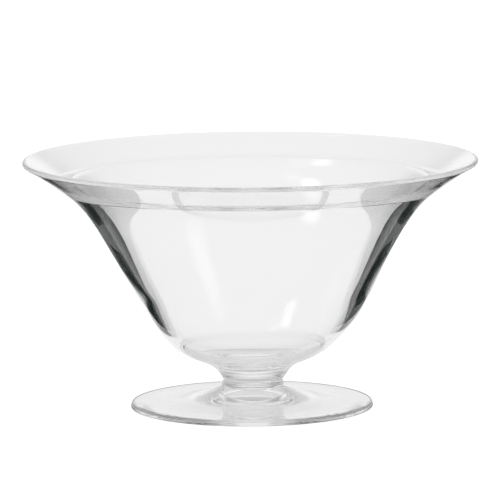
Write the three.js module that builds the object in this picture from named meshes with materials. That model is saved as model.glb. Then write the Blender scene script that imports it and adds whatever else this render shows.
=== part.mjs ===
// Footed fruit bowl in clear blown glass: a flared bowl on a short collared stem and a disc foot.
// Millimetres, +Z up, origin at the centre of the foot's standing ring.
// Each piece is a turned solid, drawn as a profile of (radius, height above the piece's own base).

import * as THREE from 'three';

// Bowl: heights are measured from its joint with the stem
const rimRadius = 150;
const bowlHeight = 145.6;
const lipThickness = 3.3;
const lipFlareAngle = 32.7;
const lipSweep = 52;
const shoulderRadius = 77;
const shoulderHeight = 55.6;
const shoulderAngle = 61.5;
const shoulderSweepUp = 66;
const shoulderSweepDown = 64;
const wallThickness = 6.9;
const flareThickness = 8.5;
const thickenTo = 0.55; // shares of the flare, from shoulder to lip
const thinFrom = 0.73;
const thinTo = 0.83;
const floorThickness = 12;
const floorSweep = 50;
const insideSweepDown = 30;
const neckRadius = 20.5;
const neckAngle = 61;
const neckSweep = 24.3;

// Stem: a rounded collar with a groove above it
const stemHeight = 6;
const collarHeight = 4.2;
const collarRootRadius = 19.6;
const collarBulge = 1.1;
const grooveDepth = 0.35;

// Foot: a cone that flattens out to a round edge, hollow underneath inside its standing ring
const footRadius = 80;
const footHeight = 13.4;
const footEdgeThickness = 3.6;
const footEdgeTopRound = 1.6;
const footEdgeBottomRound = 0.8;
const bossLedge = 0.5;
const bossAngle = -26;
const bossSweep = 20;
const footTopAngle = -2;
const footTopSweep = 35;
const standingRingWidth = 8;
const undersideRise = 8;
const undersideSweep = 22;
const standingRingSweep = 34;

// Smoothness: sides around the axis, and steps along each stretch of a profile
const sidesAround = 64;
const longCurveSteps = 9;
const flareSteps = 24;
const shortCurveSteps = 4;

const clearGlass = { color: 0xf1f6f5, roughness: 0.03, metalness: 0, transparent: true, opacity: 0.35 };

function point(radius, height) {
  return new THREE.Vector2(radius, height);
}

// The unit vector that climbs at an angle above the horizontal
function heading(degrees) {
  const angle = THREE.MathUtils.degToRad(degrees);
  return point(Math.cos(angle), Math.sin(angle));
}

const level = heading(0);

// The unit vector to the left of a heading, which is towards the inside of the bowl
function leftOf(direction) {
  return point(-direction.y, direction.x);
}

function along(start, direction, distance) {
  return start.clone().addScaledVector(direction, distance);
}

// A smooth curve that leaves one point along its heading and reaches the next along its own
function sweepCurve(start, startHeading, startReach, end, endHeading, endReach) {
  const leave = along(start, startHeading, startReach);
  const arrive = along(end, endHeading, -endReach);
  return new THREE.CubicBezierCurve(start, leave, arrive, end);
}

function sweep(...ends) {
  return sweepCurve(...ends).getPoints(longCurveSteps);
}

// Part of a circle about a centre, from one angle to another in degrees
function round(centre, radius, fromDegrees, toDegrees, steps) {
  const from = THREE.MathUtils.degToRad(fromDegrees);
  const to = THREE.MathUtils.degToRad(toDegrees);
  const clockwise = toDegrees < fromDegrees;
  return new THREE.EllipseCurve(centre.x, centre.y, radius, radius, from, to, clockwise).getPoints(steps);
}

// A shallow bow between two points, standing out by its middle height (inwards if negative)
function bow(start, end, middle) {
  const control = start.clone().lerp(end, 0.5);
  control.x += 2 * middle;
  return new THREE.QuadraticBezierCurve(start, control, end).getPoints(shortCurveSteps);
}

// Joins the stretches of a profile, dropping a point that repeats the one before it
function join(...stretches) {
  const least = 1e-6;
  return stretches.flat().filter((here, i, all) => i === 0 || here.distanceTo(all[i - 1]) > least);
}

function turned(name, profile, baseHeight) {
  const geometry = new THREE.LatheGeometry(profile, sidesAround);
  geometry.rotateX(Math.PI / 2);
  const mesh = new THREE.Mesh(geometry, new THREE.MeshStandardMaterial(clearGlass));
  mesh.name = name;
  mesh.position.z = baseHeight;
  return mesh;
}

// The wall thickens where the side bends out, and thins in a short bend to the even rim below the lip
function wallAt(share) {
  const bent = THREE.MathUtils.smoothstep(share, 0, thickenTo);
  const thick = THREE.MathUtils.lerp(wallThickness, flareThickness, bent);
  const thinned = THREE.MathUtils.smoothstep(share, thinFrom, thinTo);
  return THREE.MathUtils.lerp(thick, lipThickness, thinned);
}

// The flare's inside, which follows its outside at the wall's thickness
function insideOf(flareCurve) {
  const inside = [];
  for (let step = 0; step <= flareSteps; step += 1) {
    const share = step / flareSteps;
    const outside = flareCurve.getPoint(share);
    inside.push(along(outside, leftOf(flareCurve.getTangent(share)), wallAt(share)));
  }
  return inside;
}

function bowlProfile() {
  const flare = heading(lipFlareAngle);
  const side = heading(shoulderAngle);
  const lipRound = lipThickness / 2;
  const lipCentre = point(rimRadius - lipRound, bowlHeight - lipRound);

  const neck = point(neckRadius, 0);
  const outerShoulder = point(shoulderRadius, shoulderHeight);
  const outerLip = along(lipCentre, leftOf(flare), -lipRound);
  const floorCentre = point(0, floorThickness);
  const flareCurve = sweepCurve(outerShoulder, side, shoulderSweepUp, outerLip, flare, lipSweep);

  const lowerOutside = sweep(neck, heading(neckAngle), neckSweep, outerShoulder, side, shoulderSweepDown);
  const upperOutside = flareCurve.getPoints(flareSteps);
  const lipEdge = round(lipCentre, lipRound, lipFlareAngle - 90, lipFlareAngle + 90, 2 * shortCurveSteps);
  const upperInside = insideOf(flareCurve);
  const innerShoulder = upperInside[0];
  const lowerInside = sweep(floorCentre, level, floorSweep, innerShoulder, side, insideSweepDown);
  const jointCentre = point(0, 0);
  return join([jointCentre], lowerOutside, upperOutside, lipEdge, upperInside.reverse(), lowerInside.reverse());
}

function stemProfile() {
  const base = point(collarRootRadius, 0);
  const groove = point(collarRootRadius, collarHeight);
  const top = point(neckRadius, stemHeight);
  const collar = bow(base, groove, collarBulge);
  const hollow = bow(groove, top, -grooveDepth);
  return join([point(0, 0)], collar, hollow, [point(0, stemHeight)]);
}

function footProfile() {
  const topRoundCentre = point(footRadius - footEdgeTopRound, footEdgeThickness - footEdgeTopRound);
  const bottomRoundCentre = point(footRadius - footEdgeBottomRound, footEdgeBottomRound);
  const ringInside = point(bottomRoundCentre.x - standingRingWidth, 0);
  const undersideCentre = point(0, undersideRise);
  const boss = point(collarRootRadius + bossLedge, footHeight);
  const crest = 90 + footTopAngle;
  const edgeTop = along(topRoundCentre, heading(crest), footEdgeTopRound);

  const underside = sweep(undersideCentre, level, undersideSweep, ringInside, level, standingRingSweep);
  const bottomEdge = round(bottomRoundCentre, footEdgeBottomRound, -90, 0, shortCurveSteps);
  const topEdge = round(topRoundCentre, footEdgeTopRound, 0, crest, shortCurveSteps);
  const topSurface = sweep(boss, heading(bossAngle), bossSweep, edgeTop, heading(footTopAngle), footTopSweep);
  return join(underside, bottomEdge, topEdge, topSurface.reverse(), [point(0, footHeight)]);
}

const stemBase = footHeight;
const bowlBase = footHeight + stemHeight;

const footedBowl = new THREE.Group();
footedBowl.add(turned('foot', footProfile(), 0));
footedBowl.add(turned('stem', stemProfile(), stemBase));
footedBowl.add(turned('bowl', bowlProfile(), bowlBase));

export default footedBowl;
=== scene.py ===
import math
from itertools import chain
import bmesh
import bpy
from mathutils import Matrix, Vector
from mathutils.geometry import interpolate_bezier


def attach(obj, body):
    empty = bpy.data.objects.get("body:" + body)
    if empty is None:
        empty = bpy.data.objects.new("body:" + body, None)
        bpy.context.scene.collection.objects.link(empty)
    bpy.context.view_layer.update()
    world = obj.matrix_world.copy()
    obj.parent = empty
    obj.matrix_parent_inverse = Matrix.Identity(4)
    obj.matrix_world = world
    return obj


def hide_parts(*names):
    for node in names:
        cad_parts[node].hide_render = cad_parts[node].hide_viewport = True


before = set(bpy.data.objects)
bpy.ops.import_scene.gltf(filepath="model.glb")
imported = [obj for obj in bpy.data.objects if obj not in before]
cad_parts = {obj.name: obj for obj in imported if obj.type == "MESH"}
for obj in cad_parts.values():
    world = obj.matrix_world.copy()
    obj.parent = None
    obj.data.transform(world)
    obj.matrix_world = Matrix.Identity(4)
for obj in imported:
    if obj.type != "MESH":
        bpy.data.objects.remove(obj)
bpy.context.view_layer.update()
scene = bpy.context.scene
mm = 0.001  # shape sizes below are in millimetres
nearly = 0.001  # millimetres: points and heights closer than this are the same
print("frame loaded:", ", ".join(sorted(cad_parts)))


# small helpers

def linear(hexColour):
    # sRGB hex to the linear colour that nodes take
    def channel(at):
        value = int(hexColour[at:at + 2], 16) / 255
        return value / 12.92 if value <= 0.04045 else ((value + 0.055) / 1.055) ** 2.4
    return channel(1), channel(3), channel(5), 1.0


def addNode(tree, kind, settings=None, values=None, links=None):
    # one node with its settings, fixed socket values and incoming links
    node = tree.nodes.new(kind)
    for name, value in (settings or {}).items():
        setattr(node, name, value)
    for socket, value in (values or {}).items():
        node.inputs[socket].default_value = value
    for socket, source in (links or {}).items():
        tree.links.new(source, node.inputs[socket])
    return node


def emptyMaterial(name):
    material = bpy.data.materials.new(name)
    material.use_nodes = True
    material.node_tree.nodes.clear()
    return material


def addObject(name, data):
    added = bpy.data.objects.new(name, data)
    scene.collection.objects.link(added)
    return added


# profiles are drawn as points of radius and height

def point(radius, height):
    return Vector((radius, height, 0.0))


def heading(degrees):
    return point(math.cos(math.radians(degrees)), math.sin(math.radians(degrees)))


level = heading(0)


def leftOf(direction):
    return point(-direction.y, direction.x)


def sweep(start, startHeading, startReach, end, endHeading, endReach, steps):
    # leaves one point along its heading and reaches the next along its own
    leave = start + startHeading * startReach
    arrive = end - endHeading * endReach
    return interpolate_bezier(start, leave, arrive, end, steps + 1)


def roundOff(centre, radius, fromDegrees, toDegrees, steps):
    turn = (toDegrees - fromDegrees) / steps
    return [centre + heading(fromDegrees + turn * i) * radius for i in range(steps + 1)]


def bow(start, end, middle, steps):
    # stands out by its middle height, inwards if that is negative
    control = (start + end) / 2 + point(2 * middle, 0)
    return interpolate_bezier(start, start.lerp(control, 2 / 3), end.lerp(control, 2 / 3), end, steps + 1)


def joinStretches(*stretches):
    profile = []
    for spot in chain(*stretches):
        if not profile or (spot - profile[-1]).length > nearly:
            profile.append(spot)
    return profile


# camera: the photograph's place, a long lens from a little above the rim
cameraPlace = {"azimuth": 45.0, "distance": 3.30, "height": 0.5784, "aside": -0.0009,
               "pitch": 8.18, "roll": -0.44, "focalPixels": 5055.6, "framePixels": 500}
lens = bpy.data.cameras.new("photo_camera")
lens.sensor_width = 36.0
lens.lens = cameraPlace["focalPixels"] / cameraPlace["framePixels"] * lens.sensor_width
lens.clip_end = 100
cameraObject = addObject("photo_camera", lens)
turnAround = Matrix.Rotation(math.radians(cameraPlace["azimuth"]), 4, "Z")
standBack = Matrix.Translation((cameraPlace["aside"], -cameraPlace["distance"], cameraPlace["height"]))
lookDown = Matrix.Rotation(math.radians(90 - cameraPlace["pitch"]), 4, "X")
tip = Matrix.Rotation(math.radians(cameraPlace["roll"]), 4, "Z")
cameraObject.matrix_world = turnAround @ standBack @ lookDown @ tip
scene.camera = cameraObject
print("camera set")


# glass: three pieces turned about Z, fused to each other at two hot joints
footHeight = 13.4
stemHeight = 6.0
bowlBase = footHeight + stemHeight
neckRadius = 20.5
collarRadius = 19.6
around = 256

# the hand-made body sways a little to the camera's right between foot and rim
lean = {"towards": Vector((0.7071, 0.7071, 0)), "belly": 1.7, "bellyHeight": 68, "bellySpread": 20,
        "stem": 1.0, "stemHeight": 22, "stemSpread": 9}


def leanAt(height):
    belly = lean["belly"] * math.exp(-((height - lean["bellyHeight"]) / lean["bellySpread"]) ** 2)
    stem = lean["stem"] * math.exp(-((height - lean["stemHeight"]) / lean["stemSpread"]) ** 2)
    return lean["towards"] * (belly + stem)


def turnGlass(name, profile, baseHeight, jointHeights):
    # revolves a profile; faces on a fused joint get material slot 1 and a sharp border
    mesh = bmesh.new()
    turns = [2 * math.pi * i / around for i in range(around)]
    rings = []
    for spot in profile:
        height = baseHeight + spot.y
        middle = leanAt(height)
        ring = [middle]  # a point on the axis stays one vertex
        if spot.x > nearly:
            ring = [Vector((math.cos(turn), math.sin(turn), 0)) * spot.x + middle for turn in turns]
        rings.append([mesh.verts.new((at.x * mm, at.y * mm, height * mm)) for at in ring])
    for lower, upper in zip(rings, rings[1:]):
        for i in range(around):
            j = (i + 1) % around
            corners = [lower[i % len(lower)], lower[j % len(lower)],
                       upper[j % len(upper)], upper[i % len(upper)]]
            mesh.faces.new(list(dict.fromkeys(corners)))
    bmesh.ops.recalc_face_normals(mesh, faces=mesh.faces)
    for face in mesh.faces:
        heights = [vertex.co.z / mm for vertex in face.verts]
        fused = any(max(abs(height - joint) for height in heights) < nearly for joint in jointHeights)
        face.material_index = int(fused)
        face.smooth = not fused
    for edge in mesh.edges:
        edge.smooth = len({face.material_index for face in edge.link_faces}) == 1
    data = bpy.data.meshes.new(name)
    mesh.to_mesh(data)
    mesh.free()
    return addObject(name, data)


def waveScale(period):
    # wave texture scale that repeats after a length in millimetres
    ownFactor = 20  # the texture takes this many times its coordinate as an angle
    return 2 * math.pi / ownFactor / (period * mm)


def clearGlass(name, look):
    # clear soda-lime glass: making marks and a slow swell bend the light, specks of handling haze dull it
    material = emptyMaterial(name)
    tree = material.node_tree
    place = addNode(tree, "ShaderNodeTexCoord").outputs["Object"]
    marks = addNode(tree, "ShaderNodeTexWave",
                    {"wave_type": look["marks"], "bands_direction": "Z", "rings_direction": "Z"},
                    {"Scale": waveScale(look["markPeriod"]), "Distortion": 1.5,
                     "Detail": 2.0, "Detail Scale": 0.8},
                    {"Vector": place}).outputs["Fac"]
    swell = addNode(tree, "ShaderNodeTexNoise",
                    values={"Scale": 1 / (look["swellSize"] * mm), "Detail": 1.0},
                    links={"Vector": place}).outputs["Fac"]
    marked = addNode(tree, "ShaderNodeBump",
                     values={"Strength": 1.0, "Distance": look["markDepth"] * mm},
                     links={"Height": marks}).outputs["Normal"]
    swelled = addNode(tree, "ShaderNodeBump",
                      values={"Strength": 1.0, "Distance": look["swellDepth"] * mm},
                      links={"Height": swell, "Normal": marked}).outputs["Normal"]
    haze = addNode(tree, "ShaderNodeTexNoise",
                   values={"Scale": 1 / (look["hazeSize"] * mm), "Detail": 4.0},
                   links={"Vector": place}).outputs["Fac"]
    specks = addNode(tree, "ShaderNodeMapRange",
                     values={"From Min": look["hazeFrom"], "From Max": 1.0,
                             "To Min": 0.0, "To Max": look["haze"]},
                     links={"Value": haze}).outputs["Result"]
    shader = addNode(tree, "ShaderNodeBsdfPrincipled",
                     values={"Base Color": linear(look["colour"]), "IOR": 1.52, "Transmission Weight": 1.0},
                     links={"Roughness": specks, "Normal": swelled})
    addNode(tree, "ShaderNodeOutputMaterial", links={"Surface": shader.outputs["BSDF"]})
    return material


def fusedSeam(name):
    # the hot joint: no surface is left inside the glass, so light goes straight on
    material = emptyMaterial(name)
    tree = material.node_tree
    shader = addNode(tree, "ShaderNodeBsdfPrincipled", values={"Base Color": (1, 1, 1, 1), "Alpha": 0.0})
    addNode(tree, "ShaderNodeOutputMaterial", links={"Surface": shader.outputs["BSDF"]})
    return material


seam = fusedSeam("fused_glass_seam")


def addGlass(node, profile, baseHeight, jointHeights, glass):
    piece = turnGlass(node + "_glass", profile, baseHeight, jointHeights)
    piece.data.materials.append(glass)
    piece.data.materials.append(seam)
    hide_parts(node)
    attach(piece, "root")
    print(node, "turned")


# foot: a cone that flattens out to a round edge, hollow under it inside a standing ring
# spun glass, with wide faint rings left by the paddle that pressed it flat
footMake = {
    "radius": 80, "edgeThickness": 3.6, "edgeTopRound": 1.6, "edgeBottomRound": 0.8, "bossLedge": 0.5,
    "bossAngle": -26, "bossSweep": 20, "topAngle": -2, "topSweep": 35, "ringWidth": 8,
    "undersideRise": 8, "undersideSweep": 22, "ringSweep": 34,
    "undersideSteps": 32, "bottomEdgeSteps": 8, "topEdgeSteps": 12, "topSteps": 48,
    "colour": "#fefefe", "marks": "RINGS", "markPeriod": 6, "markDepth": 0.003,
    "swellSize": 26, "swellDepth": 0.03, "hazeSize": 9, "hazeFrom": 0.67, "haze": 0.18,
}


def footProfile(make):
    topRound = make["edgeTopRound"]
    bottomRound = make["edgeBottomRound"]
    topCentre = point(make["radius"] - topRound, make["edgeThickness"] - topRound)
    bottomCentre = point(make["radius"] - bottomRound, bottomRound)
    ringInside = point(bottomCentre.x - make["ringWidth"], 0)
    boss = point(collarRadius + make["bossLedge"], footHeight)
    joint = [point(collarRadius, footHeight), point(0, footHeight)]
    crest = 90 + make["topAngle"]
    edgeTop = topCentre + heading(crest) * topRound
    underside = sweep(point(0, make["undersideRise"]), level, make["undersideSweep"],
                      ringInside, level, make["ringSweep"], make["undersideSteps"])
    bottomEdge = roundOff(bottomCentre, bottomRound, -90, 0, make["bottomEdgeSteps"])
    topEdge = roundOff(topCentre, topRound, 0, crest, make["topEdgeSteps"])
    top = sweep(boss, heading(make["bossAngle"]), make["bossSweep"],
                edgeTop, heading(make["topAngle"]), make["topSweep"], make["topSteps"])
    return joinStretches(underside, bottomEdge, topEdge, top[::-1], joint)


footGlass = clearGlass("soda_lime_glass_spun", footMake)
addGlass("foot", footProfile(footMake), 0, [footHeight], footGlass)

# stem: a rounded collar with a groove above it
# tooled glass, with fine level lines left by the jacks
stemMake = {
    "collarHeight": 4.2, "collarBulge": 1.1, "grooveDepth": 0.35, "collarSteps": 16, "grooveSteps": 10,
    "colour": "#fefefe", "marks": "BANDS", "markPeriod": 1.6, "markDepth": 0.002,
    "swellSize": 12, "swellDepth": 0.03, "hazeSize": 6, "hazeFrom": 0.66, "haze": 0.2,
}


def stemProfile(make):
    base = point(collarRadius, 0)
    groove = point(collarRadius, make["collarHeight"])
    top = point(neckRadius, stemHeight)
    collar = bow(base, groove, make["collarBulge"], make["collarSteps"])
    hollow = bow(groove, top, -make["grooveDepth"], make["grooveSteps"])
    return joinStretches([point(0, 0)], collar, hollow, [point(0, stemHeight)])


stemGlass = clearGlass("soda_lime_glass_tooled", stemMake)
addGlass("stem", stemProfile(stemMake), footHeight, [footHeight, bowlBase], stemGlass)

# bowl: a drawn-in neck, a thick flared side and a thin even rim with a rounded lip
# blown glass, with faint level ripples left by turning the blowpipe and a slow swell of the wall
bowlMake = {
    "rimRadius": 150, "height": 145.6, "lipThickness": 3.3, "lipFlareAngle": 32.7, "lipSweep": 52,
    "shoulderRadius": 77, "shoulderHeight": 55.6, "shoulderAngle": 61.5, "shoulderSweepUp": 66,
    "shoulderSweepDown": 64, "wallThickness": 6.9, "flareThickness": 8.5,
    "thickenTo": 0.55, "thinFrom": 0.73, "thinTo": 0.83,  # shares of the flare, from shoulder to lip
    "floorThickness": 12, "floorSweep": 50, "insideSweepDown": 30, "neckAngle": 61, "neckSweep": 24.3,
    "sideSteps": 48, "flareSteps": 90, "lipSteps": 20,
    "colour": "#fefefe", "marks": "BANDS", "markPeriod": 11, "markDepth": 0.004,
    "swellSize": 34, "swellDepth": 0.06, "hazeSize": 14, "hazeFrom": 0.68, "haze": 0.15,
}


def ease(share):
    share = min(max(share, 0), 1)
    return share * share * (3 - 2 * share)


def wallAt(share, make):
    # the wall thickens as it bends out, then thins in a short bend to an even rim
    bent = ease(share / make["thickenTo"])
    thinned = ease((share - make["thinFrom"]) / (make["thinTo"] - make["thinFrom"]))
    wall = make["wallThickness"]
    wall += (make["flareThickness"] - wall) * bent
    wall += (make["lipThickness"] - wall) * thinned
    return wall


def flareInside(outside, make):
    # follows the flare's outside at the wall's thickness
    inside = []
    last = len(outside) - 1
    ends = {0: heading(make["shoulderAngle"]), last: heading(make["lipFlareAngle"])}
    for i, spot in enumerate(outside):
        along = ends.get(i) or (outside[i + 1] - outside[i - 1]).normalized()
        inside.append(spot + leftOf(along) * wallAt(i / last, make))
    return inside


def bowlProfile(make):
    flare = heading(make["lipFlareAngle"])
    side = heading(make["shoulderAngle"])
    lipRound = make["lipThickness"] / 2
    lipCentre = point(make["rimRadius"] - lipRound, make["height"] - lipRound)
    outerLip = lipCentre - leftOf(flare) * lipRound
    outerShoulder = point(make["shoulderRadius"], make["shoulderHeight"])
    neck = point(neckRadius, 0)
    floorCentre = point(0, make["floorThickness"])
    lowerOutside = sweep(neck, heading(make["neckAngle"]), make["neckSweep"],
                         outerShoulder, side, make["shoulderSweepDown"], make["sideSteps"])
    upperOutside = sweep(outerShoulder, side, make["shoulderSweepUp"],
                         outerLip, flare, make["lipSweep"], make["flareSteps"])
    lipEdge = roundOff(lipCentre, lipRound, make["lipFlareAngle"] - 90, make["lipFlareAngle"] + 90,
                       make["lipSteps"])
    upperInside = flareInside(upperOutside, make)
    lowerInside = sweep(floorCentre, level, make["floorSweep"],
                        upperInside[0], side, make["insideSweepDown"], make["sideSteps"])
    return joinStretches([point(0, 0)], lowerOutside, upperOutside, lipEdge,
                         upperInside[::-1], lowerInside[::-1])


bowlGlass = clearGlass("soda_lime_glass_blown", bowlMake)
addGlass("bowl", bowlProfile(bowlMake), bowlBase, [bowlBase], bowlGlass)


# stage: white floor, white tent, and grey boards on the floor that only the glass sees

def plainSurface(name, hexColour, glow):
    material = emptyMaterial(name)
    tree = material.node_tree
    shader = addNode(tree, "ShaderNodeBsdfPrincipled", values={
        "Base Color": linear(hexColour), "Roughness": 0.9, "Specular IOR Level": 0.0,
        "Emission Color": (1, 1, 1, 1), "Emission Strength": glow})
    addNode(tree, "ShaderNodeOutputMaterial", links={"Surface": shader.outputs["BSDF"]})
    return material


def addCard(name, corners, material):
    data = bpy.data.meshes.new(name)
    data.from_pydata(corners, [], [tuple(range(len(corners)))])
    data.materials.append(material)
    card = addObject(name, data)
    return card


# floor: matt white, and a little brighter to the camera than to the glass
floorMake = {"reach": 8.0, "drop": 0.0002, "colour": "#e6e6e6", "glow": 0.48, "moreToCamera": 0.30}


def whiteFloor(make):
    material = plainSurface("white_floor", make["colour"], make["glow"])
    tree = material.node_tree
    seen = addNode(tree, "ShaderNodeLightPath").outputs["Is Camera Ray"]
    glow = addNode(tree, "ShaderNodeMapRange",
                   values={"To Min": make["glow"], "To Max": make["glow"] + make["moreToCamera"]},
                   links={"Value": seen}).outputs["Result"]
    tree.links.new(glow, tree.nodes["Principled BSDF"].inputs["Emission Strength"])
    return material


reach = floorMake["reach"]
floorCorners = [(-reach, -reach), (reach, -reach), (reach, reach), (-reach, reach)]
addCard("floor", [(x, y, -floorMake["drop"]) for x, y in floorCorners], whiteFloor(floorMake))

# tent: evenly white, brighter low down behind, with two grey flags there and soft lamps at the front
# azimuth 0 is straight behind the bowl and positive to the right; angles are in degrees
tentGlow = 0.54
tentParts = (
    {"azimuth": 0, "elevation": 10, "inner": 8, "outer": 18, "strength": 0.40},
    {"azimuth": -30, "elevation": 16, "inner": 6, "outer": 15, "strength": -0.30},
    {"azimuth": 30, "elevation": 16, "inner": 6, "outer": 15, "strength": -0.30},
    {"azimuth": -50, "elevation": 5, "inner": 8, "outer": 18, "strength": 0.38},
    {"azimuth": 50, "elevation": 5, "inner": 8, "outer": 18, "strength": 0.38},
    {"azimuth": -107, "elevation": 60, "inner": 1, "outer": 7, "strength": 3.0},
    {"azimuth": -113, "elevation": 71, "inner": 1, "outer": 6, "strength": 0.5},
    {"azimuth": 121, "elevation": 47, "inner": 1, "outer": 10, "strength": 0.8},
)


def aimed(azimuth, elevation):
    turn = math.radians(azimuth)
    up = math.radians(elevation)
    return turnAround @ Vector((math.sin(turn) * math.cos(up), math.cos(turn) * math.cos(up), math.sin(up)))


def addPatch(tree, direction, light, part):
    # adds a round patch of light, soft between its inner and outer angle
    near = addNode(tree, "ShaderNodeVectorMath", {"operation": "DOT_PRODUCT"},
                   {1: aimed(part["azimuth"], part["elevation"])}, {0: direction})
    patch = addNode(tree, "ShaderNodeMapRange", {"interpolation_type": "SMOOTHSTEP"},
                    {"From Min": math.cos(math.radians(part["outer"])),
                     "From Max": math.cos(math.radians(part["inner"])),
                     "To Min": 0.0, "To Max": part["strength"]}, {"Value": near.outputs["Value"]})
    return addNode(tree, "ShaderNodeMath", {"operation": "ADD"},
                   links={0: light, 1: patch.outputs["Result"]}).outputs["Value"]


def whiteTent(name):
    tent = bpy.data.worlds.new(name)
    tent.use_nodes = True
    tree = tent.node_tree
    tree.nodes.clear()
    direction = addNode(tree, "ShaderNodeTexCoord").outputs["Generated"]
    light = addNode(tree, "ShaderNodeValue").outputs["Value"]
    light.default_value = tentGlow
    for part in tentParts:
        light = addPatch(tree, direction, light, part)
    seen = addNode(tree, "ShaderNodeLightPath").outputs["Is Camera Ray"]
    light = addNode(tree, "ShaderNodeMix", values={"B": 1.0},
                    links={"Factor": seen, "A": light}).outputs["Result"]
    sky = addNode(tree, "ShaderNodeBackground", values={"Color": (1, 1, 1, 1)}, links={"Strength": light})
    addNode(tree, "ShaderNodeOutputWorld", links={"Surface": sky.outputs["Background"]})
    return tent


scene.world = whiteTent("tent")

# boards: they lie behind the bowl, left and right, and give its sides their dark zones
# a thin ring of the same grey under the foot's edge is a painted contact shadow, and gives the foot its
# outline
boardMake = {
    "colour": "#2c3431", "drop": 0.0001,
    "corners": ((105, 20), (275, 900), (425, 900), (255, 20)),  # millimetres to the right and behind
    "ringInside": 78, "ringOutside": 84, "ringStep": 5,
}


def circle(radius):
    turns = [math.radians(angle) for angle in range(0, 361, boardMake["ringStep"])]
    return [(radius * math.sin(turn), radius * math.cos(turn)) for turn in turns]


boards = {
    "board_left": [(-x, y) for x, y in boardMake["corners"]],
    "board_right": boardMake["corners"],
    # the contact ring stands in for the foot's shadow: painted shadow that only the glass sees
    "contact_shade": circle(boardMake["ringOutside"]) + circle(boardMake["ringInside"])[::-1],
}
boardAndShadowFace = plainSurface("grey_board_and_painted_shadow", boardMake["colour"], 0.0)
for name, outline in boards.items():
    corners = [turnAround @ Vector((x * mm, y * mm, -boardMake["drop"])) for x, y in outline]
    board = addCard(name, corners, boardAndShadowFace)
    board.visible_camera = False
    board.visible_diffuse = False
    board.visible_shadow = False
print("stage set")

scene.view_settings.view_transform = "Standard"
scene.cycles.use_denoising = True
bounces = 256  # light goes round inside the thick wall many times
scene.cycles.max_bounces = bounces
scene.cycles.transmission_bounces = bounces
scene.cycles.glossy_bounces = bounces
scene.cycles.transparent_max_bounces = 64
